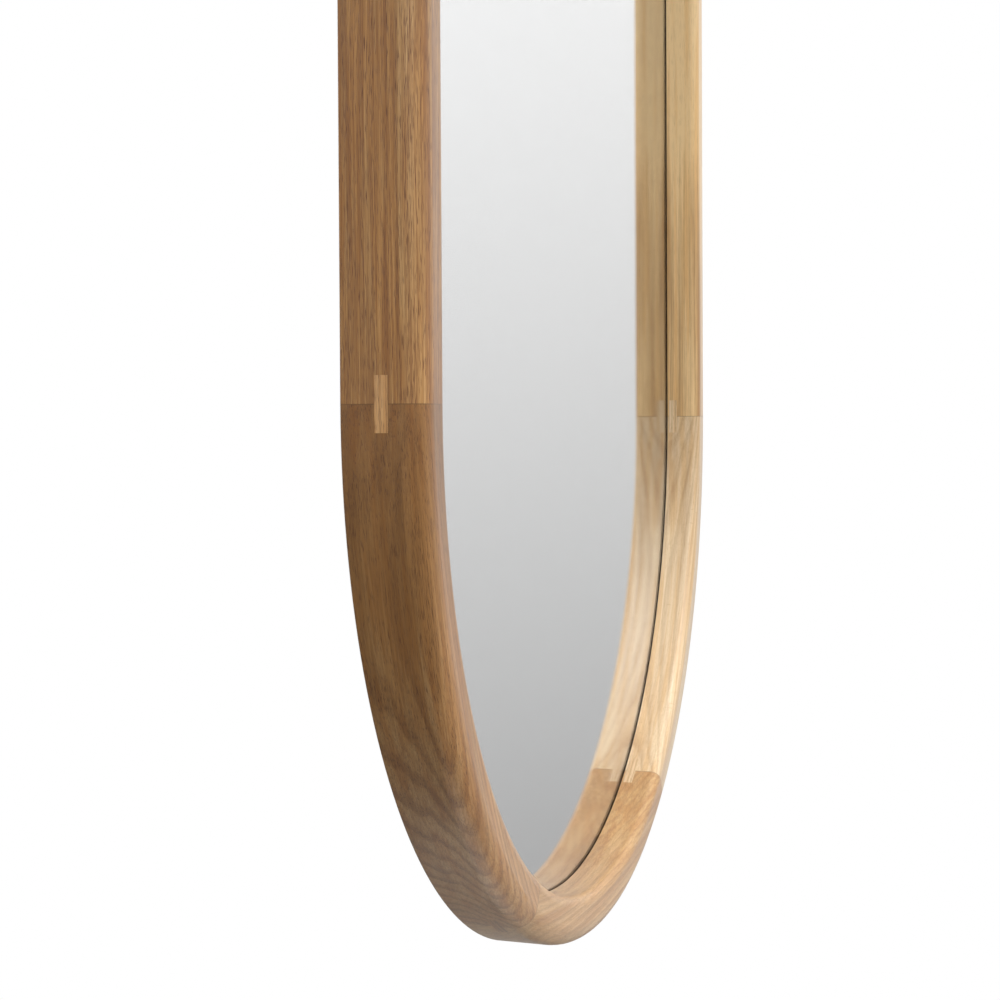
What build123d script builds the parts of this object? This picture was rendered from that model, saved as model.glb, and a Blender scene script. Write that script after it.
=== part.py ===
"""Pill-shaped oak wall mirror.

Two straight stiles and six 60 degree arc segments are joined end to end with loose splines.
A glass pane sits in a rebate behind the frame's lip, held by a back panel and turn buttons.
Two strap hangers with D-rings carry it on wall screws, and rubber bumpers set it off the wall.

Frame: +Z up, -Y out of the wall towards the room, +X to the right as seen from the room.
The origin is on the wall, midway between the two screws that the D-rings hang on.
"""
import os
from math import cos, radians, sin

from build123d import *

# ---- driving dimensions (mm) ----
WIDTH = 600.0                 # overall width
HEIGHT = 1700.0               # overall height
HANG_ABOVE_CENTRE = 450.0     # wall screws above the mirror's centre

FRAME_WIDTH = 26.0            # face width of the bars
FRAME_DEPTH = 38.0            # bar depth, front to back
OUTER_ROUND = 11.0            # round on the front outer edge
INNER_ROUND = 6.0             # round on the front inner edge
BACK_EASE = 0.8               # eased back outer edge
LIP_DEPTH = 23.5              # front face to the rebate's shelf
REBATE_WIDTH = 12.0           # shelf width
SEGMENTS = 3                  # arc segments in each semicircle

SPLINE_THICK = 6.0
SPLINE_LENGTH = 24.0          # half in each piece
SPLINE_INSET = 1.0            # wood left between the slot and the rebate's shelf

WALL_GAP = 5.0                # back of the frame to the wall

TAPE_THICK = 0.5
TAPE_WIDTH = 8.0
TAPE_INSET = 2.5              # tape edge to the rebate's wall
PANE_THICK = 3.0
PANE_CLEARANCE = 2.0          # pane edge to the rebate's wall
SILVER_GAP = 0.05
SILVER_THICK = 0.35           # silvering, paint and safety film
SHEET_THICK = 1.6
SHEET_CLEARANCE = 3.0
PANEL_CLEARANCE = 1.0

# turn buttons and their screws
BUTTON_LENGTH = 24.0
BUTTON_WIDTH = 8.0
BUTTON_THICK = 1.5
BUTTON_AIR = 0.15             # swivel clearance over the frame's back
BUTTON_DIMPLE = 1.2           # raised finger bump at the free end
BUTTON_HOLE_R = 1.85
BUTTON_STILE_OFFSET = 260.0   # along each stile from its middle
BUTTON_ARC_ANGLE = 66.0       # from the spring line, just past the haunch joints
BUTTON_SCREW_R = 1.75
BUTTON_SCREW_LENGTH = 14.0
BUTTON_HEAD_R = 3.3
BUTTON_HEAD_HEIGHT = 1.7

# strap hangers, D-rings and their screws
HANGER_INSET = 9.0            # straps' middle, in from the frame's outer face
STRAP_WIDTH = 9.0
STRAP_LENGTH = 30.0           # below the barrel's axis
STRAP_THICK = 1.3
BARREL_R = 2.8
BARREL_BORE_R = 1.46
RING_WIRE_R = 1.4
RING_HALF_WIDTH = 7.0         # wire centre line
RING_STRAIGHT = 7.0           # straight side before the bow
RING_CORNER_R = 2.0
STRAP_SCREWS = (8.5, 21.5)    # below the barrel's axis
STRAP_HOLE_R = 1.9
STRAP_SCREW_R = 1.75
STRAP_SCREW_LENGTH = 18.0
STRAP_HEAD_R = 2.9
STRAP_HEAD_HEIGHT = 1.5

SLOT_WIDTH = 0.9              # cross recess in the screw heads
SLOT_DEPTH = 0.8

BUMPER_R = 4.5
BUMPER_EASE = 0.8
BUMPER_ARC_ANGLE = 76.0       # from the spring line, on the bottom segment
BUMPER_TOP_OFFSET = 90.0      # above the D-rings on the stiles

# ---- worked out ----
OUTER_R = WIDTH / 2
INNER_R = OUTER_R - FRAME_WIDTH
REBATE_R = INNER_R + REBATE_WIDTH
TAPE_OUTER_R = REBATE_R - TAPE_INSET
LAND_R = (REBATE_R + OUTER_R) / 2          # middle of the wood behind the rebate
BUTTON_ARC_R = REBATE_R + 5.5
BUMPER_ARC_R = REBATE_R + BUMPER_R + 0.5
STRAIGHT = HEIGHT - WIDTH
CENTRE_Z = -HANG_ABOVE_CENTRE
LOW_SPRING_Z = CENTRE_Z - STRAIGHT / 2
HIGH_SPRING_Z = CENTRE_Z + STRAIGHT / 2
SEGMENT_ANGLE = 180.0 / SEGMENTS

BACK_Y = -WALL_GAP
FRONT_Y = BACK_Y - FRAME_DEPTH
SHELF_Y = FRONT_Y + LIP_DEPTH
PANE_FRONT_Y = SHELF_Y + TAPE_THICK
PANE_BACK_Y = PANE_FRONT_Y + PANE_THICK
SILVER_FRONT_Y = PANE_BACK_Y + SILVER_GAP
SILVER_BACK_Y = SILVER_FRONT_Y + SILVER_THICK
SHEET_BACK_Y = SILVER_BACK_Y + SHEET_THICK
SPLINE_BACK_Y = SHELF_Y - SPLINE_INSET
SPLINE_MID_Y = SPLINE_BACK_Y - SPLINE_THICK / 2

BUTTON_FRONT_Y = BACK_Y + BUTTON_AIR
BUTTON_BACK_Y = BUTTON_FRONT_Y + BUTTON_THICK
STRAP_BACK_Y = BACK_Y + STRAP_THICK
BARREL_Y = BACK_Y + BARREL_R
RING_TOP = RING_STRAIGHT + RING_HALF_WIDTH
BARREL_Z = -(RING_TOP - RING_WIRE_R)       # the bow's inside rests on the wall screw at z = 0

PARTS = "parts"


def save(name, *solids):
    """Write one node's solids as parts/NAME.step."""
    shape = solids[0] if len(solids) == 1 else Compound(children=list(solids))
    shape.label = name
    export_step(shape, os.path.join(PARTS, name + ".step"))


# ---- frames along the outline ----
def place(radius, y, angle, upper):
    """Location on an end arc, angle degrees round from the left spring point (180 = right).

    Local +X points outwards, local +Y to the wall, local Z along the bar.
    """
    turn = radians(angle)
    side = 1 if upper else -1
    spring = HIGH_SPRING_Z if upper else LOW_SPRING_Z
    outward = Vector(-cos(turn), 0, side * sin(turn))
    origin = Vector(0, y, spring) + outward * radius
    along = outward.cross(Vector(0, 1, 0))
    return Location(Plane(origin=origin, x_dir=outward, z_dir=along))


def place_stile(radius, y, z, side):
    """Location on a stile: local +X outwards, +Y to the wall, Z along the bar."""
    outward = Vector(side, 0, 0)
    along = outward.cross(Vector(0, 1, 0))
    return Location(Plane(origin=(side * radius, y, z), x_dir=outward, z_dir=along))


# ---- oak frame ----
def bar_section():
    """Bar cross-section: X is the distance from the arc's axis, Y is depth."""
    with BuildSketch(Plane.XY) as section:
        with BuildLine():
            Polyline(
                (OUTER_R, BACK_Y), (OUTER_R, FRONT_Y), (INNER_R, FRONT_Y),
                (INNER_R, SHELF_Y), (REBATE_R, SHELF_Y), (REBATE_R, BACK_Y),
                close=True,
            )
        make_face()
        for x, y, size in ((OUTER_R, FRONT_Y, OUTER_ROUND), (INNER_R, FRONT_Y, INNER_ROUND),
                           (OUTER_R, BACK_Y, BACK_EASE)):
            corner = section.vertices().sort_by_distance((x, y, 0))[0]
            fillet(corner, size)
    return section.sketch


def stile(side):
    """Straight bar between the two spring lines."""
    section = bar_section()
    bar = extrude(section, STRAIGHT, dir=(0, 0, 1)).moved(Location((0, 0, LOW_SPRING_Z)))
    return bar if side > 0 else bar.mirror(Plane.YZ)


def arc_segment(index, upper):
    """One curved bar, index 0 at the left spring point."""
    ring = revolve(bar_section(), Axis.Y, SEGMENT_ANGLE)
    centre_z = HIGH_SPRING_Z if upper else LOW_SPRING_Z
    start = 180.0 + index * SEGMENT_ANGLE if upper else 180.0 - (index + 1) * SEGMENT_ANGLE
    return Location((0, 0, centre_z)) * (Rotation(0, start, 0) * ring)


def spline_block(angle, upper):
    """Block that both the slot and the spline are cut to, straddling one joint."""
    block = Box(FRAME_WIDTH * 3, SPLINE_THICK, SPLINE_LENGTH)
    middle_r = (INNER_R + OUTER_R) / 2
    return place(middle_r, SPLINE_MID_Y, angle, upper) * block


# ---- glass and back ----
def stadium(radius, front_y, back_y):
    """Flat slab with the mirror's outline at the given radius."""
    with BuildSketch(Plane.XZ) as outline:
        Rectangle(2 * radius, STRAIGHT)
        with Locations((0, STRAIGHT / 2), (0, -STRAIGHT / 2)):
            Circle(radius)
    slab = extrude(outline.sketch, abs(back_y - front_y), dir=(0, 1, 0))
    return slab.moved(Location((0, front_y, CENTRE_Z)))


# ---- screws ----
def screw(radius, length, head_r, head_height, seat_y):
    """Pan-head wood screw along local Y; its head sits on seat_y and its point runs to -Y."""
    head = Cylinder(head_r, head_height, align=(Align.CENTER, Align.CENTER, Align.MIN))
    head = fillet(head.edges().group_by(Axis.Z)[-1], head_height * 0.6)
    shank_length = length - radius * 2
    shank = Cylinder(radius, shank_length, align=(Align.CENTER, Align.CENTER, Align.MAX))
    point = Cone(0.2, radius, radius * 2, align=(Align.CENTER, Align.CENTER, Align.MAX))
    body = head + shank + Pos(0, 0, -shank_length) * point
    for turn in (0, 90):
        bar = Box(head_r * 1.2, SLOT_WIDTH, 2 * SLOT_DEPTH)
        body -= Pos(0, 0, head_height) * (Rot(0, 0, turn) * bar)
    return Pos(0, seat_y, 0) * (Rot(-90, 0, 0) * body)


def clearance_hole(radius, depth, mouth_y):
    """Pilot hole to cut, along local Y from mouth_y towards -Y."""
    hole = Cylinder(radius, depth, align=(Align.CENTER, Align.CENTER, Align.MAX))
    return Pos(0, mouth_y, 0) * (Rot(-90, 0, 0) * hole)


# ---- turn buttons ----
def button_places():
    """Name and location of each turn button's pivot, at y = 0."""
    places = {}
    for level, sign in (("lower", -1), ("upper", 1)):
        for side_name, side in (("left", -1), ("right", 1)):
            z = CENTRE_Z + sign * BUTTON_STILE_OFFSET
            places[f"turn_button_{level}_{side_name}_stile"] = place_stile(LAND_R, 0, z, side)
            angle = BUTTON_ARC_ANGLE if side < 0 else 180.0 - BUTTON_ARC_ANGLE
            places[f"turn_button_{level}_{side_name}_arc"] = place(BUTTON_ARC_R, 0, angle, sign > 0)
    return places


def turn_button():
    """Swivelling latch: pivot at the origin, free end at local -X over the back panel."""
    tail = BUTTON_WIDTH / 2
    reach = BUTTON_LENGTH - 2 * tail
    plate = Pos(-reach / 2, 0, 0) * Box(reach, BUTTON_WIDTH, BUTTON_THICK)
    plate += Cylinder(tail, BUTTON_THICK)
    plate += Pos(-reach, 0, 0) * Cylinder(tail, BUTTON_THICK)
    bump = Pos(-reach, 0, BUTTON_THICK / 2) * Cylinder(
        tail * 0.55, BUTTON_DIMPLE, align=(Align.CENTER, Align.CENTER, Align.MIN))
    bump = fillet(bump.edges().group_by(Axis.Z)[-1], BUTTON_DIMPLE * 0.8)
    plate = plate + bump - Cylinder(BUTTON_HOLE_R, BUTTON_THICK * 3)
    upright = Rot(-90, 0, 0) * plate
    return Pos(0, (BUTTON_FRONT_Y + BUTTON_BACK_Y) / 2, 0) * upright


# ---- strap hangers ----
def hanger_x(side):
    return side * (OUTER_R - HANGER_INSET)


def strap_hanger():
    """Plate rolled into a barrel at its top, modelled at x = 0."""
    tail = STRAP_WIDTH / 2
    length = STRAP_LENGTH - tail
    plate = Box(STRAP_WIDTH, STRAP_THICK, length, align=(Align.CENTER, Align.MIN, Align.MAX))
    plate = Pos(0, BACK_Y, BARREL_Z) * plate
    end = Pos(0, BACK_Y + STRAP_THICK / 2, BARREL_Z - length) * (Rot(90, 0, 0) * Cylinder(tail, STRAP_THICK))
    barrel = Pos(0, BARREL_Y, BARREL_Z) * (Rot(0, 90, 0) * Cylinder(BARREL_R, STRAP_WIDTH))
    bore = Pos(0, BARREL_Y, BARREL_Z) * (Rot(0, 90, 0) * Cylinder(BARREL_BORE_R, STRAP_WIDTH * 2))
    body = plate + end + barrel - bore
    for drop in STRAP_SCREWS:
        hole = Rot(90, 0, 0) * Cylinder(STRAP_HOLE_R, STRAP_THICK * 4)
        body -= Pos(0, BACK_Y, BARREL_Z - drop) * hole
    return body


def d_ring():
    """Wire ring standing up from the barrel: straight leg in the barrel, round bow on top."""
    half = RING_HALF_WIDTH
    corner = RING_CORNER_R
    with BuildPart() as ring:
        with BuildLine(Plane.XZ) as path:
            Line((-half + corner, 0), (half - corner, 0))
            RadiusArc((half - corner, 0), (half, corner), -corner)
            Line((half, corner), (half, RING_STRAIGHT))
            RadiusArc((half, RING_STRAIGHT), (-half, RING_STRAIGHT), -half)
            Line((-half, RING_STRAIGHT), (-half, corner))
            RadiusArc((-half, corner), (-half + corner, 0), -corner)
        with BuildSketch(Plane(origin=path.line @ 0, z_dir=path.line % 0)):
            Circle(RING_WIRE_R)
        sweep()
    return Pos(0, BARREL_Y, BARREL_Z) * ring.part


# ---- wall bumpers ----
def bumper():
    """Rubber disc from the frame's back to the wall, axis along local Y."""
    disc = Cylinder(BUMPER_R, WALL_GAP, align=(Align.CENTER, Align.CENTER, Align.MIN))
    disc = fillet(disc.edges().group_by(Axis.Z)[-1], BUMPER_EASE)
    return Pos(0, BACK_Y, 0) * (Rot(-90, 0, 0) * disc)


def bumper_places():
    top_z = BUMPER_TOP_OFFSET
    return [
        place(BUMPER_ARC_R, 0, BUMPER_ARC_ANGLE, False),
        place(BUMPER_ARC_R, 0, 180.0 - BUMPER_ARC_ANGLE, False),
        place_stile(LAND_R, 0, top_z, -1),
        place_stile(LAND_R, 0, top_z, 1),
    ]


# ---- build ----
def pilot_cutters():
    """Pilot holes in the frame for every screw, line to line with the shanks."""
    cutters = []
    for where in button_places().values():
        cutters.append(where * clearance_hole(BUTTON_SCREW_R, BUTTON_SCREW_LENGTH, BACK_Y))
    for side in (-1, 1):
        for drop in STRAP_SCREWS:
            hole = clearance_hole(STRAP_SCREW_R, STRAP_SCREW_LENGTH, BACK_Y)
            cutters.append(Pos(hanger_x(side), 0, BARREL_Z - drop) * hole)
    return cutters


def cut_near(bar, cutters):
    """Subtract only the cutters whose boxes meet the bar's."""
    box = bar.bounding_box()
    for cutter in cutters:
        other = cutter.bounding_box()
        if (other.max.X > box.min.X and other.min.X < box.max.X
                and other.max.Z > box.min.Z and other.min.Z < box.max.Z):
            bar = bar - cutter
    return bar


def build_frame():
    names = ("left", "middle", "right")
    joints = [(i * SEGMENT_ANGLE, upper) for upper in (False, True) for i in range(SEGMENTS + 1)]
    blocks = [spline_block(angle, upper) for angle, upper in joints]
    cutters = blocks + pilot_cutters()
    bars = {}
    for side_name, side in (("left", -1), ("right", 1)):
        bars[f"{side_name}_stile"] = stile(side)
    for upper, level in ((False, "lower"), (True, "upper")):
        for index, name in enumerate(names):
            bars[f"{level}_{name}_arc"] = arc_segment(index, upper)
    bars["bottom_arc"] = bars.pop("lower_middle_arc")
    bars["top_arc"] = bars.pop("upper_middle_arc")
    for name, bar in bars.items():
        save(name, cut_near(bar, cutters))

    lip = stadium(OUTER_R, FRONT_Y, SHELF_Y) - stadium(INNER_R, FRONT_Y - 1, SHELF_Y + 1)
    spline_names = ("left_spring", "left_haunch", "right_haunch", "right_spring")
    for block, (angle, upper) in zip(blocks, joints):
        level = "upper" if upper else "lower"
        name = spline_names[round(angle / SEGMENT_ANGLE)]
        save(f"spline_{level}_{name}", block & lip)


def build_glass_and_back():
    tape = stadium(TAPE_OUTER_R, SHELF_Y, PANE_FRONT_Y)
    tape -= stadium(TAPE_OUTER_R - TAPE_WIDTH, SHELF_Y - 1, PANE_FRONT_Y + 1)
    save("rebate_tape", tape)
    save("mirror_pane", stadium(REBATE_R - PANE_CLEARANCE, PANE_FRONT_Y, PANE_BACK_Y))
    save("silver_backing", stadium(REBATE_R - PANE_CLEARANCE, SILVER_FRONT_Y, SILVER_BACK_Y))
    save("cushion_sheet", stadium(REBATE_R - SHEET_CLEARANCE, SILVER_BACK_Y, SHEET_BACK_Y))
    save("back_panel", stadium(REBATE_R - PANEL_CLEARANCE, SHEET_BACK_Y, BACK_Y))


def build_hardware():
    button = turn_button()
    button_screw = screw(BUTTON_SCREW_R, BUTTON_SCREW_LENGTH, BUTTON_HEAD_R, BUTTON_HEAD_HEIGHT,
                         BUTTON_BACK_Y + BUTTON_AIR)
    places = button_places()
    for name, where in places.items():
        save(name, where * button)
    save("turn_button_screws", *[where * button_screw for where in places.values()])

    strap_screw = screw(STRAP_SCREW_R, STRAP_SCREW_LENGTH, STRAP_HEAD_R, STRAP_HEAD_HEIGHT, STRAP_BACK_Y)
    for side_name, side in (("left", -1), ("right", 1)):
        save(f"strap_hanger_{side_name}", Pos(hanger_x(side), 0, 0) * strap_hanger())
        save(f"hanger_ring_{side_name}", Pos(hanger_x(side), 0, 0) * d_ring())
    spots = [Pos(hanger_x(side), 0, BARREL_Z - drop) for side in (-1, 1) for drop in STRAP_SCREWS]
    save("hanger_screws", *[spot * strap_screw for spot in spots])
    save("wall_bumpers", *[where * bumper() for where in bumper_places()])


def main():
    os.makedirs(PARTS, exist_ok=True)
    build_frame()
    build_glass_and_back()
    build_hardware()


main()
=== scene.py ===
"""Studio scene for the pill-shaped oak wall mirror: materials, soft light and camera.

Metres, in the row's frame: +Z up, -Y out of the wall towards the room, +X to the right.
The origin is on the wall, level with the screws that the mirror hangs on.
"""
import math

import bmesh
import bpy
from mathutils import Euler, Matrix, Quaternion, Vector

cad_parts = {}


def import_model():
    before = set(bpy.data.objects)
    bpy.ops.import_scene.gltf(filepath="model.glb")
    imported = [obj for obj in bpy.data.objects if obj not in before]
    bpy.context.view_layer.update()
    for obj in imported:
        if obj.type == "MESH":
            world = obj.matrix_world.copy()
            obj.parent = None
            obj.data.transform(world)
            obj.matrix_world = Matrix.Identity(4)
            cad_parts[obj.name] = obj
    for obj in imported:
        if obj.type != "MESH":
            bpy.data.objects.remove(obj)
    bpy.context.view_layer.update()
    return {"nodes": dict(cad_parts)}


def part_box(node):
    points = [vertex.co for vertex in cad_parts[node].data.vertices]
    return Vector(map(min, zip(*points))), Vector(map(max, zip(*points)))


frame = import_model()
NODES = frame["nodes"]

MM = 0.001

# ---- sizes read from the frame ----
STILE_LOW, STILE_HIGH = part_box("left_stile")
OUTER_R = -STILE_LOW.x
BAR_WIDTH = STILE_HIGH.x - STILE_LOW.x
BAR_R = OUTER_R - BAR_WIDTH / 2               # the bar's middle, from an end arc's centre
BAR_MID_Y = (STILE_LOW.y + STILE_HIGH.y) / 2
LOW_SPRING = Vector((0, 0, STILE_LOW.z))      # the lower end arc's centre
HIGH_SPRING = Vector((0, 0, STILE_HIGH.z))    # the upper end arc's centre
MIDDLE = (LOW_SPRING + HIGH_SPRING) / 2
HALF_STILE = (HIGH_SPRING.z - LOW_SPRING.z) / 2
BOTTOM_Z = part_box("bottom_arc")[0].z
SEGMENT_ANGLE = 60.0

# ---- camera ----
CAMERA_AT = LOW_SPRING + Vector((-0.9345, -0.2818, -0.0129))
CAMERA_HEADING = 71.96        # degrees to the right of straight at the wall
CAMERA_RISE = -1.05
CAMERA_ROLL = -0.30
CAMERA_LENS = 59.53
CAMERA_SENSOR = 36.0
CAMERA_SHIFT = -0.035

# ---- floor ----
FLOOR_DROP = 1.1              # below the mirror's lower end
FLOOR_FORWARD = 0.1           # its middle, out from the wall
FLOOR_RADIUS = 0.55
FLOOR_SIDES = 96
FLOOR_GRAIN = 1 / 90
FLOOR_GREYS = ((0.58, 0.58, 0.575), (0.63, 0.63, 0.625))

# ---- surrounding light ----
# In each zone, brightness climbs with the direction's height: from, to, lowest, highest.
ROOM_LIGHT = (-0.26, 0.28, 0.47, 0.99)
LEFT_LIGHT = (-0.15, 0.4, 0.07, 0.52)
LEFT_REFLECTED = (-0.5, 0.4, 0.26, 0.68)      # what the mirror shows of the left side
REAR_LIGHT = (-0.5, 0.5, 0.05, 0.40)
LEFT_TO_ROOM = (-0.2, 0.3)                    # the direction's X over which the zones blend
ROOM_TO_REAR = (-0.1, 0.1)                    # the direction's Y over which the zones blend
BACKDROP = 1.0                                # what the camera sees
KEY_LAMP = ((-0.38, -0.30, 0.87), 11.0, 7.4)  # direction, focus and brightness
BACK_LAMP = ((0.5, 0.8, 0.3), 3.0, 1.5)

# ---- fill light ----
FILL_AT = LOW_SPRING + Vector((-0.2, -0.55, -0.4))
FILL_TARGET = LOW_SPRING + Vector((0, 0, -0.25))
FILL_SIZE = 0.4
FILL_POWER = 1.6


# ---- node graph helpers ----
class Graph:
    """A node tree, with short calls for the nodes used here."""

    def __init__(self, owner):
        owner.use_nodes = True
        self.tree = owner.node_tree

    def node(self, kind, **values):
        made = self.tree.nodes.new(kind)
        for key, value in values.items():
            setattr(made, key, value)
        return made

    def feed(self, socket, value):
        """Links a socket to another, or sets a constant on it."""
        if isinstance(value, bpy.types.NodeSocket):
            self.tree.links.new(value, socket)
        elif value is not None:
            socket.default_value = value

    def split(self, vector):
        made = self.node("ShaderNodeSeparateXYZ")
        self.feed(made.inputs[0], vector)
        return made.outputs

    def math(self, operation, a, b=None):
        made = self.node("ShaderNodeMath", operation=operation)
        self.feed(made.inputs[0], a)
        self.feed(made.inputs[1], b)
        return made.outputs[0]

    def vector(self, operation, a, b=None):
        made = self.node("ShaderNodeVectorMath", operation=operation)
        self.feed(made.inputs[0], a)
        self.feed(made.inputs[1], b)
        scalar = operation in ("LENGTH", "DOT_PRODUCT")
        return made.outputs["Value" if scalar else "Vector"]

    def spread(self, value, low, high, to_low=0.0, to_high=1.0, interpolation="LINEAR"):
        """Maps low to high onto to_low to to_high, and holds the ends."""
        made = self.node("ShaderNodeMapRange", interpolation_type=interpolation)
        for index, item in enumerate((value, low, high, to_low, to_high)):
            self.feed(made.inputs[index], item)
        return made.outputs[0]

    def smooth(self, value, low, high, to_low=0.0, to_high=1.0):
        return self.spread(value, low, high, to_low, to_high, "SMOOTHSTEP")

    def mapping(self, vector, location=(0, 0, 0), rotation=(0, 0, 0), scale=(1, 1, 1)):
        made = self.node("ShaderNodeMapping")
        self.feed(made.inputs["Vector"], vector)
        made.inputs["Location"].default_value = location
        made.inputs["Rotation"].default_value = rotation
        made.inputs["Scale"].default_value = scale
        return made.outputs[0]

    def noise(self, vector, size, location=(0, 0, 0), detail=2.0, roughness=0.5):
        """Noise with features of this size on each axis, as a value and as a colour."""
        made = self.node("ShaderNodeTexNoise")
        scaled = self.mapping(vector, location=location, scale=[1 / item for item in size])
        self.feed(made.inputs["Vector"], scaled)
        made.inputs["Scale"].default_value = 1.0
        made.inputs["Detail"].default_value = detail
        made.inputs["Roughness"].default_value = roughness
        return made.outputs["Fac"], made.outputs["Color"]

    def ramp(self, value, *stops):
        made = self.node("ShaderNodeValToRGB")
        ramp = made.color_ramp
        while len(ramp.elements) < len(stops):
            ramp.elements.new(0.5)
        for element, (place, colour) in zip(ramp.elements, stops):
            element.position = place
            element.color = (*colour, 1.0)
        self.feed(made.inputs[0], value)
        return made.outputs[0]

    def mix(self, factor, a, b, blend="MIX"):
        """Mixes two colours."""
        made = self.node("ShaderNodeMix", data_type="RGBA", blend_type=blend)
        self.feed(made.inputs["Factor"], factor)
        for socket, value in ((made.inputs[6], a), (made.inputs[7], b)):
            self.feed(socket, (*value, 1.0) if isinstance(value, tuple) else value)
        return made.outputs[2]

    def mix_value(self, factor, a, b):
        """Mixes two plain values."""
        made = self.node("ShaderNodeMix")
        for index, value in ((0, factor), (2, a), (3, b)):
            self.feed(made.inputs[index], value)
        return made.outputs[0]


class Surface(Graph):
    """A new material with its Principled shader."""

    def __init__(self, name):
        self.material = bpy.data.materials.new(name)
        super().__init__(self.material)
        self.shader = self.tree.nodes["Principled BSDF"]

    def set(self, **values):
        """Constants or links on the shader; underscores stand for spaces."""
        for key, value in values.items():
            self.feed(self.shader.inputs[key.replace("_", " ")], value)

    def object_coordinates(self):
        return self.node("ShaderNodeTexCoord").outputs["Object"]

    def bump(self, height, distance, strength):
        made = self.node("ShaderNodeBump")
        made.inputs["Distance"].default_value = distance
        made.inputs["Strength"].default_value = strength
        self.feed(made.inputs["Height"], height)
        return made.outputs[0]


def srgb(red, green, blue):
    """Linear colour from 8-bit display values."""
    def channel(value):
        value /= 255
        return value / 12.92 if value <= 0.04045 else ((value + 0.055) / 1.055) ** 2.4
    return channel(red), channel(green), channel(blue)


def cube(size):
    return (size, size, size)


def paint(node, material):
    NODES[node].material_slots[0].material = material


# ---- oak: colours ----
HONEY = dict(light=srgb(204, 164, 112), middle=srgb(184, 140, 86), dark=srgb(154, 108, 60),
             pore=srgb(112, 68, 32))
AMBER = dict(light=srgb(234, 200, 146), middle=srgb(174, 134, 84), dark=srgb(156, 114, 66),
             pore=srgb(134, 94, 56))
BROWN = dict(light=srgb(196, 154, 102), middle=srgb(164, 119, 69), dark=srgb(136, 94, 50),
             pore=srgb(84, 50, 24))
CREAM = dict(light=srgb(227, 202, 163), middle=srgb(202, 174, 137), dark=srgb(176, 140, 98),
             pore=srgb(170, 132, 86))
TAN = dict(light=srgb(206, 168, 116), middle=srgb(182, 141, 88), dark=srgb(155, 112, 65),
           pore=srgb(128, 88, 48))
PALE = dict(light=srgb(228, 184, 130), middle=srgb(204, 156, 102), dark=srgb(172, 122, 72),
            pore=srgb(110, 70, 38))
BLUSH_TINT = (0.94, 0.84, 0.70)

# ---- oak: sizes of its features in mm, across the bar, through it and along the grain ----
DRIFT_SIZE = (45, 45, 320)
SPACING_SIZE = (11, 11, 900)
STREAK_SIZE = (8, 8, 260)
LINE_SIZE = (0.9, 0.9, 90)
THREAD_SIZE = (0.4, 0.4, 22)
PORE_WIDTH = 0.22
BLUSH_SIZE = (5, 5, 150)
BLUSH_PLACE = (40, 7, 90)
FLECK_SIZE = (7, 7, 0.9)
SEED_STEP = 173.0             # from one board's pattern to the next, along the grain

# ---- oak: where each feature starts and where it is full, on its noise's scale ----
STREAK_RANGE = (0.28, 0.72)
FIBRE_RANGE = (0.3, 0.7)
ROUGHNESS_RANGE = (0.2, 0.8)
BLUSH_RANGE = (0.42, 0.62)
FLECK_RANGE = (0.72, 0.78)
PORE_RANGE = (0.0, 0.13)      # above the level that pores start at
PORE_LEVELS = (0.56, 0.51)    # that level in late wood, and in early wood
EARLY_RISE = (0.0, 0.16)      # parts of a ring over which the early wood starts
EARLY_FALL = (0.62, 0.2)      # and fades into late wood, from its end back to its start
UNEVEN_SPACING = 1.3          # how far the rings' spacing changes, in rings
FAINT_RING = 0.1              # what is left of the rings where they have faded out
THREAD_SHARE = 0.6            # threads, against lines
TONE_STOPS = (0.05, 0.5, 1.0)   # tones of the light, middle and dark colours

# ---- oak: joints and finish ----
JOINT_LINE = (0.12 * MM, 0.4 * MM)   # half its dark width, and half its whole width
JOINT_SHADE = 0.5
JOINT_DARKNESS = 0.4          # its colour, as a share of the dark wood
OAK_RELIEF = 0.08 * MM
OAK_ROUGHNESS = (0.40, 0.54)
OAK_FINISH = dict(Coat_Weight=0.6, Coat_Roughness=0.32, Sheen_Weight=0.22, Sheen_Roughness=0.4)


def follow_arc(g, board, along, bend):
    """Shifts the board's coordinates so that its grain bends round with the arc."""
    curve = g.node("ShaderNodeCombineXYZ")
    squared = g.math("MULTIPLY", along, along)
    g.feed(curve.inputs[0], g.math("MULTIPLY", squared, -bend / (2 * BAR_R * MM)))
    return g.vector("ADD", board, curve.outputs[0])


def joint_line(g, local, joints):
    """One near the joint planes and nought elsewhere, or None where there are no joints."""
    line = None
    for normal, distance in joints:
        off = g.math("SUBTRACT", g.vector("DOT_PRODUCT", local, normal), distance)
        near = g.smooth(g.math("ABSOLUTE", off), *JOINT_LINE, 1.0, 0.0)
        line = near if line is None else g.math("MAXIMUM", line, near)
    return line


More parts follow.
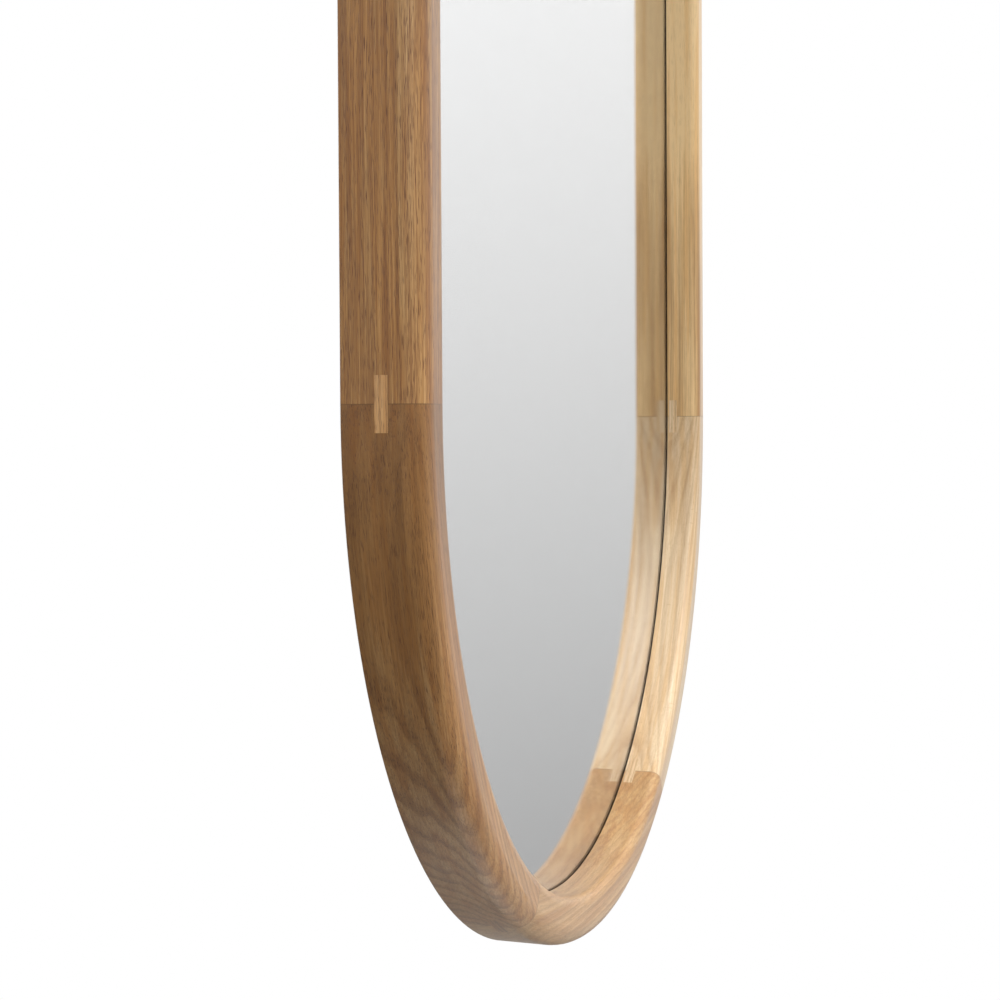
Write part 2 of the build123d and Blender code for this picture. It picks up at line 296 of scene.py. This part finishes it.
def oak(name, centre, turn, bar_x, joints, light, middle, dark, pore, pith, seed, skew=0.0,
        pitch=3.0, ring=0.35, streak=0.5, fibre=0.3, pore_length=7.0, pore_amount=0.8, waver=3.0,
        ring_from=None, pale=None, bend=0.0, flecks=0.0):
    """Solid oak: growth rings round a pith line, long pores and fibres, cut by the bar's faces.

    centre is the arc's or stile's middle, and joints are the joint planes' normals and distances
    from it. turn is the angle about Y that stands the bar on Z, and skew is the grain's angle to
    the bar; bar_x is the bar's middle across the grain. bend is how far the grain follows the
    arc, from 0 to 1.

    In millimetres: pith is the rings' centre from the bar's middle, pitch their spacing,
    pore_length the pores' length, and waver how far the grain wanders. ring, streak, fibre,
    pore_amount and flecks say how strong each feature is.

    In metres along the grain from centre: the rings fade out over ring_from, and pale is a
    lighter band's start, peak and end, and how much lighter; a negative amount makes it darker.
    """
    g = Surface(name)
    local = g.vector("SUBTRACT", g.object_coordinates(), centre)
    turned = g.mapping(local, rotation=(0, math.radians(turn - skew), 0))
    along = g.split(turned)["Z"]
    board = g.mapping(turned, location=(-bar_x / MM, -BAR_MID_Y / MM, seed * SEED_STEP),
                      scale=cube(1 / MM))
    if bend:
        board = follow_arc(g, board, along, bend)
    drift = g.vector("SUBTRACT", g.noise(board, DRIFT_SIZE)[1], cube(0.5))
    grained = g.vector("ADD", board, g.vector("MULTIPLY", drift, (waver * 2, waver * 2, 0)))

    # growth rings, and the early wood in each
    across = g.vector("SUBTRACT", g.vector("MULTIPLY", grained, (1, 1, 0)), (*pith, 0))
    uneven = g.noise(grained, SPACING_SIZE, detail=1.0)[0]
    rings = g.math("ADD", g.math("DIVIDE", g.vector("LENGTH", across), pitch),
                   g.math("MULTIPLY", uneven, UNEVEN_SPACING))
    phase = g.math("FRACT", rings)
    early = g.math("MULTIPLY", g.smooth(phase, *EARLY_RISE), g.smooth(phase, *EARLY_FALL))
    if ring_from:
        ring = g.smooth(along, *ring_from, ring, FAINT_RING)

    # streaks, lines, threads and pores along the grain
    broad = g.noise(grained, STREAK_SIZE, detail=3.0)[0]
    lines = g.noise(grained, LINE_SIZE, detail=3.0, roughness=0.6)[0]
    thread = g.noise(grained, THREAD_SIZE)[0]
    vessels = g.noise(grained, (PORE_WIDTH, PORE_WIDTH, pore_length), detail=1.0)[0]
    level = g.smooth(early, 0.0, 1.0, *PORE_LEVELS)
    pores = g.smooth(g.math("SUBTRACT", vessels, level), *PORE_RANGE)

    tone = g.math("MULTIPLY", g.smooth(broad, *STREAK_RANGE), streak)
    if pale:
        start, peak, end, amount = pale
        band = g.math("MULTIPLY", g.smooth(along, start, peak), g.smooth(along, end, peak))
        tone = g.math("SUBTRACT", tone, g.math("MULTIPLY", band, amount))
    for feature, strength in ((early, ring), (g.smooth(lines, *FIBRE_RANGE), fibre),
                              (g.smooth(thread, *FIBRE_RANGE), fibre * THREAD_SHARE)):
        tone = g.math("ADD", tone, g.math("MULTIPLY", feature, strength))

    colour = g.ramp(tone, *zip(TONE_STOPS, (light, middle, dark)))
    blush = g.noise(grained, BLUSH_SIZE, location=BLUSH_PLACE, detail=3.0)[0]
    colour = g.mix(g.smooth(blush, *BLUSH_RANGE), colour, BLUSH_TINT, "MULTIPLY")
    colour = g.mix(g.math("MULTIPLY", pores, pore_amount), colour, pore)
    if flecks:
        marks = g.noise(grained, FLECK_SIZE, detail=1.0)[0]
        colour = g.mix(g.smooth(marks, *FLECK_RANGE, 0.0, flecks), colour, dark)
    line = joint_line(g, local, joints)
    if line is not None:
        shade = tuple(channel * JOINT_DARKNESS for channel in dark)
        colour = g.mix(g.math("MULTIPLY", line, JOINT_SHADE), colour, shade)

    height = g.math("SUBTRACT", g.math("MULTIPLY", thread, 0.5), pores)
    g.set(Base_Color=colour, Normal=g.bump(height, distance=OAK_RELIEF, strength=0.6))
    g.set(Roughness=g.smooth(lines, *ROUGHNESS_RANGE, *OAK_ROUGHNESS), **OAK_FINISH)
    return g.material


# ---- oak: boards ----
STILES = {
    "left_stile": (-BAR_R, dict(HONEY, seed=1, pith=(46, 38), ring=0.14, fibre=0.6,
                                pore_amount=1.0)),
    "right_stile": (BAR_R, dict(AMBER, seed=2, pith=(-60, 44), ring=0.10, streak=0.35, fibre=0.16,
                                pore_length=9, pore_amount=0.25, pale=(-0.48, -0.22, 0.3, 0.6))),
}
LOWER_ARCS = {
    # the lower left arc's negative pale band is painted shade: it darkens the arc from its middle up
    # to its joint with the left stile
    "lower_left_arc": dict(BROWN, seed=3, pith=(70, 22), skew=14, bend=0.6, waver=2.0, ring=0.27,
                           ring_from=(-0.1, 0.02), streak=0.3, fibre=0.25, pore_length=6,
                           pore_amount=0.65, pale=(-0.06, 0.08, 0.5, -0.5)),
    "bottom_arc": dict(TAN, seed=4, pith=(70, 30), bend=0.3, ring=0.16, streak=0.4,
                       pore_amount=0.5),
    "lower_right_arc": dict(CREAM, seed=5, pith=(70, 14), bend=0.85, ring=0.24, streak=0.35,
                            fibre=0.2, pore_amount=0.35, flecks=0.6),
}
UPPER_ARCS = {
    "upper_left_arc": dict(HONEY, seed=6, pith=(50, -40)),
    "top_arc": dict(TAN, seed=7, pith=(60, 35)),
    "upper_right_arc": dict(HONEY, seed=8, pith=(45, 40)),
}
SPLINE_TONES = {"left_spring": PALE, "left_haunch": BROWN, "right_haunch": CREAM,
                "right_spring": CREAM}
SPLINE_LOOK = dict(pith=(9, 40), pitch=2.4, ring=0.3, streak=0.3)
FIRST_SPLINE_SEED = 11


def joint_plane(angle, upper):
    """Joint across an end arc: its tangent there is the plane's normal."""
    turn = math.radians(angle)
    return (math.sin(turn), 0, math.cos(turn) if upper else -math.cos(turn)), 0.0


def paint_frame():
    """Each bar gets its own board of oak."""
    ends = [((0, 0, 1), HALF_STILE), ((0, 0, 1), -HALF_STILE)]
    for name, (bar_x, look) in STILES.items():
        paint(name, oak("oak " + name.replace("_", " "), MIDDLE, 0, bar_x, ends, **look))
    for upper, arcs in enumerate((LOWER_ARCS, UPPER_ARCS)):
        for index, (name, look) in enumerate(arcs.items()):
            start = index * SEGMENT_ANGLE
            middle = start + SEGMENT_ANGLE / 2
            joints = [joint_plane(start, upper), joint_plane(start + SEGMENT_ANGLE, upper)]
            paint(name, oak("oak " + name.replace("_", " "), HIGH_SPRING if upper else LOW_SPRING,
                            -middle if upper else middle, -BAR_R, joints, **look))


def paint_splines():
    """Loose splines, with their grain along their length."""
    for upper, level in enumerate(("lower", "upper")):
        for index, (place, tone) in enumerate(SPLINE_TONES.items()):
            angle = index * SEGMENT_ANGLE
            seed = FIRST_SPLINE_SEED + index + upper * len(SPLINE_TONES)
            material = oak(f"oak spline {level} {index}", HIGH_SPRING if upper else LOW_SPRING,
                           -angle if upper else angle, -BAR_R, [], **tone, **SPLINE_LOOK, seed=seed)
            paint(f"spline_{level}_{place}", material)


# ---- glass and back ----
HAZE_SIZE = 1 / 3
ROUGHNESS_SPREAD = 0.07       # each way from a plain material's middle roughness
VENEER_FIGURE = (70, 70, 600)   # sizes in mm, along the grain last
VENEER_FIBRE = (1.1, 1.1, 60)
VENEER_FLECK = (0.5, 0.5, 5)
VENEER_BANDS = 7.0            # bands of figure over the noise's whole range
VENEER_COLOURS = (srgb(226, 200, 160), srgb(186, 148, 104))


def paint_glass():
    g = Surface("clear glass")
    g.set(Base_Color=(0.995, 1.0, 0.998, 1), Roughness=0.0, IOR=1.52, Transmission_Weight=1.0)
    paint("mirror_pane", g.material)

    g = Surface("silvering")
    haze = g.noise(g.object_coordinates(), cube(HAZE_SIZE))[0]
    g.set(Base_Color=g.ramp(haze, (0.0, (0.955, 0.95, 0.955)), (1.0, (0.975, 0.97, 0.975))))
    g.set(Metallic=1.0, Roughness=0.0)
    paint("silver_backing", g.material)


def fine_grain(name, colour, roughness, grain_mm, contrast=0.15, depth_mm=0.05, metallic=0.0):
    """Plain material with a fine even grain: rubber, foam or plated steel."""
    g = Surface(name)
    grain = g.noise(g.object_coordinates(), cube(grain_mm * MM), detail=3.0)[0]
    darker = tuple(channel * (1 - contrast) for channel in colour)
    lighter = tuple(min(1.0, channel * (1 + contrast)) for channel in colour)
    g.set(Base_Color=g.ramp(grain, (0.25, darker), (0.75, lighter)), Metallic=metallic)
    g.set(Roughness=g.smooth(grain, *ROUGHNESS_RANGE, roughness - ROUGHNESS_SPREAD,
                             roughness + ROUGHNESS_SPREAD))
    g.set(Normal=g.bump(grain, distance=depth_mm * MM, strength=0.5))
    return g.material


def steel(name, colour, roughness, grain_mm, contrast):
    return fine_grain(name, colour, roughness, grain_mm, contrast, depth_mm=0.01, metallic=1.0)


def plywood():
    """Birch face veneer, its grain along the mirror's length."""
    g = Surface("birch plywood")
    board = g.mapping(g.object_coordinates(), scale=cube(1 / MM))
    drift = g.noise(board, VENEER_FIGURE)[0]
    bands = g.math("FRACT", g.math("MULTIPLY", drift, VENEER_BANDS))
    figure = g.math("MULTIPLY", g.smooth(bands, 0.0, 0.5), g.smooth(bands, 1.0, 0.5))
    fibre = g.noise(board, VENEER_FIBRE, detail=4.0, roughness=0.6)[0]
    fleck = g.noise(board, VENEER_FLECK, detail=1.0)[0]
    tone = g.math("ADD", g.math("MULTIPLY", figure, 0.14), g.math("MULTIPLY", fibre, 0.8))
    tone = g.math("ADD", tone, g.smooth(fleck, 0.6, 0.75, 0.0, 0.25))
    lighter, darker = VENEER_COLOURS
    g.set(Base_Color=g.ramp(tone, (0.15, lighter), (1.0, darker)), Roughness=0.6)
    g.set(Normal=g.bump(fibre, distance=0.06 * MM, strength=0.4))
    return g.material


def paint_back():
    # the tape's dark colour is partly painted shade: it stands in for the shadowed gap between the
    # wood lip and the glass edge, which the mirror shows as a dark line
    paint("rebate_tape", fine_grain("rebate tape with painted gap shade", (0.11, 0.09, 0.07), 0.6, 0.6))
    paint("cushion_sheet", fine_grain("foam sheet", (0.72, 0.72, 0.70), 0.8, 0.9))
    paint("back_panel", plywood())
    paint("wall_bumpers", fine_grain("bumper rubber", (0.02, 0.02, 0.021), 0.55, 0.5))
    plate = steel("zinc plated steel", (0.60, 0.61, 0.63), 0.36, 1.5, 0.12)
    ring = steel("ring steel", (0.66, 0.67, 0.69), 0.24, 1.0, 0.08)
    screw = steel("screw steel", (0.58, 0.58, 0.58), 0.32, 0.8, 0.15)
    for name in NODES:
        if name.endswith("_screws"):
            paint(name, screw)
        elif name.startswith(("turn_button_", "strap_hanger_")):
            paint(name, plate)
        elif name.startswith("hanger_ring_"):
            paint(name, ring)


# ---- studio ----
def floor():
    """Pale round floor below the mirror."""
    mesh = bpy.data.meshes.new("studio_floor")
    bm = bmesh.new()
    bmesh.ops.create_circle(bm, cap_ends=True, segments=FLOOR_SIDES, radius=FLOOR_RADIUS)
    bm.to_mesh(mesh)
    bm.free()
    made = bpy.data.objects.new("studio_floor", mesh)
    made.location = (0, -FLOOR_FORWARD, BOTTOM_Z - FLOOR_DROP)
    bpy.context.scene.collection.objects.link(made)
    g = Surface("pale floor")
    speckle = g.noise(g.object_coordinates(), cube(FLOOR_GRAIN), detail=3.0)[0]
    darker, lighter = FLOOR_GREYS
    g.set(Base_Color=g.ramp(speckle, (0.3, darker), (0.7, lighter)), Roughness=0.7)
    mesh.materials.append(g.material)


def world():
    """White backdrop; a dim room with one soft lamp high on the left and one behind the mirror."""
    made = bpy.data.worlds.new("studio")
    bpy.context.scene.world = made
    g = Graph(made)
    direction = g.node("ShaderNodeTexCoord").outputs["Generated"]
    part = g.split(direction)
    path = g.node("ShaderNodeLightPath").outputs

    room, left, reflected, rear = (
        g.spread(part["Z"], *zone) for zone in (ROOM_LIGHT, LEFT_LIGHT, LEFT_REFLECTED, REAR_LIGHT))
    left = g.mix_value(path["Is Singular Ray"], left, reflected)
    front = g.mix_value(g.spread(part["X"], *LEFT_TO_ROOM), left, room)
    light = g.mix_value(g.spread(part["Y"], *ROOM_TO_REAR), front, rear)
    for towards, focus, brightness in (KEY_LAMP, BACK_LAMP):
        facing = g.vector("DOT_PRODUCT", direction, Vector(towards).normalized())
        lobe = g.math("POWER", g.math("MAXIMUM", facing, 0.0), focus)
        light = g.math("ADD", light, g.math("MULTIPLY", lobe, brightness))

    seen = g.mix_value(path["Is Camera Ray"], light, BACKDROP)
    g.feed(g.tree.nodes["Background"].inputs["Color"], seen)


def fill_light():
    """Soft panel low in front of the mirror, for the front faces; the mirror doesn't show it."""
    data = bpy.data.lights.new("front fill", "AREA")
    data.shape = "DISK"
    data.size = FILL_SIZE
    data.energy = FILL_POWER
    made = bpy.data.objects.new("front fill", data)
    made.location = FILL_AT
    made.rotation_euler = (FILL_TARGET - FILL_AT).to_track_quat("-Z", "Y").to_euler()
    made.visible_camera = False
    made.visible_glossy = False
    made.visible_transmission = False
    bpy.context.scene.collection.objects.link(made)


def camera():
    """View from the left, along the wall, level with the lower arc's spring line."""
    data = bpy.data.cameras.new("camera")
    data.lens = CAMERA_LENS
    data.sensor_width = CAMERA_SENSOR
    data.shift_y = CAMERA_SHIFT
    made = bpy.data.objects.new("camera", data)
    made.location = CAMERA_AT
    level = Euler((math.radians(90 + CAMERA_RISE), 0, -math.radians(CAMERA_HEADING))).to_quaternion()
    made.rotation_mode = "QUATERNION"
    made.rotation_quaternion = level @ Quaternion((0, 0, 1), math.radians(CAMERA_ROLL))
    bpy.context.scene.collection.objects.link(made)
    bpy.context.scene.camera = made


paint_frame()
paint_splines()
paint_glass()
paint_back()
floor()
world()
fill_light()
camera()
bpy.context.scene.view_settings.view_transform = "Standard"
